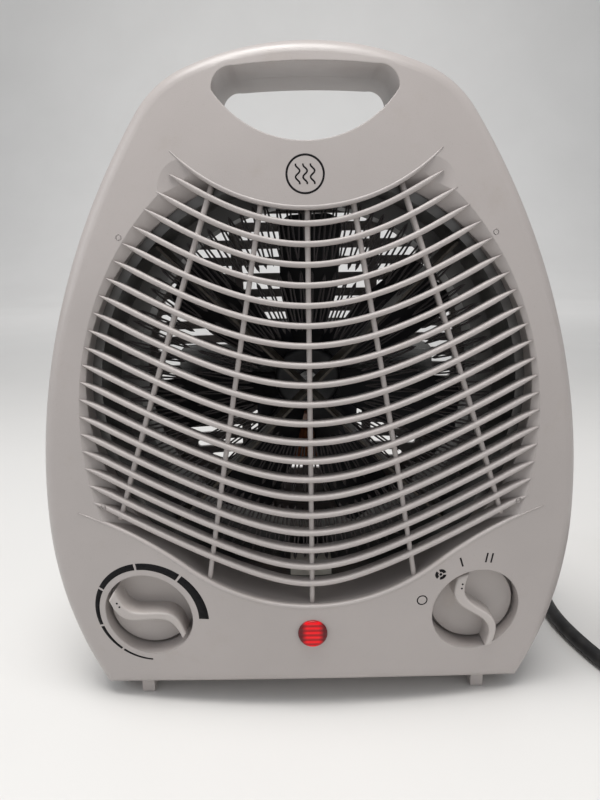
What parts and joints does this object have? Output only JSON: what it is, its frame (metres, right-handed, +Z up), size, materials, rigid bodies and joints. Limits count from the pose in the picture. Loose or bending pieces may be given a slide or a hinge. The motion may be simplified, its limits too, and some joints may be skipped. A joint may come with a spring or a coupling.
{
  "type": "fan convector heater",
  "caption": "Upright portable fan convector heater: domed plastic casing with carrying handle, curved grille, recessed knobs, indicator lamp, fan, heating element and mains lead.",
  "frame": {"origin": "on the ground, under the middle of the heater's box, without the cord", "axes": "-Y is the front with the grille, +X is to the right in a front view, on the selector's side, and +Z is up"},
  "size_m": [0.3507, 0.2161, 0.2652],
  "materials": {
    "casing_plastic": "fine-textured moulded plastic",
    "bright_steel": "plated steel",
    "shield_steel": "satin, slightly heat-tinted",
    "mica": "pressed mica sheet",
    "heating_alloy": "drawn resistance wire",
    "ceramic": "glazed",
    "black_plastic": "satin moulded",
    "copper_winding": "enamelled copper wire",
    "lamination": "stacked sheet",
    "lens_red": "clear red",
    "lamp_glass": "clear",
    "lead_sleeve": "silicone sleeve",
    "cord_rubber": "matte pvc sheath",
    "brass": "nickel-plated brass",
    "tie": "satin"
  },
  "bodies": {
    "root": {"front_casing": "casing_plastic", "front_grille": "casing_plastic", "rear_casing": "casing_plastic", "left_foot": "casing_plastic", "right_foot": "casing_plastic", "casing_screws": "bright_steel", "heat_shield": "shield_steel", "heating_wire_outer": "heating_alloy", "heating_wire_inner": "heating_alloy", "mica_board_1": "mica", "mica_board_2": "mica", "thermal_cutout": "ceramic", "thermal_fuse": "bright_steel", "fan_shroud": "shield_steel", "motor_stator": "lamination", "motor_winding": "copper_winding", "motor_mount": "bright_steel", "mount_screws": "bright_steel", "motor_front_bracket": "bright_steel", "motor_rear_bracket": "bright_steel", "motor_bearings": "brass", "motor_screws": "bright_steel", "thermostat_body": "ceramic", "selector_body": "black_plastic", "indicator_lens": "lens_red", "indicator_lamp": "lamp_glass", "terminal_block": "ceramic", "terminal_screws": "brass", "internal_leads": "lead_sleeve", "strain_relief": "cord_rubber", "power_cord": "cord_rubber", "cord_coil": "cord_rubber", "cord_tie": "tie", "plug_body": "black_plastic", "plug_pins": "brass"},
    "fan": {"fan_impeller": "black_plastic", "motor_shaft": "bright_steel", "fan_clip": "bright_steel", "motor_rotor": "lamination"},
    "thermostat": {"thermostat_knob": "casing_plastic", "thermostat_shaft": "brass"},
    "selector": {"selector_knob": "casing_plastic", "selector_shaft": "black_plastic"}
  },
  "joints": [
    {"name": "fan_spin", "type": "hinge", "parent": "root", "child": "fan", "pos_m": [0, 0, 0.134], "axis": [0, 1, 0], "continuous": true},
    {"name": "thermostat_turn", "type": "hinge", "parent": "root", "child": "thermostat", "pos_m": [-0.068, -0.045, 0.044], "axis": [0, -1, 0], "range_deg": [-147, 123]},
    {"name": "selector_turn", "type": "hinge", "parent": "root", "child": "selector", "pos_m": [0.068, -0.045, 0.044], "axis": [0, -1, 0], "range_deg": [-31, 52]}
  ]
}
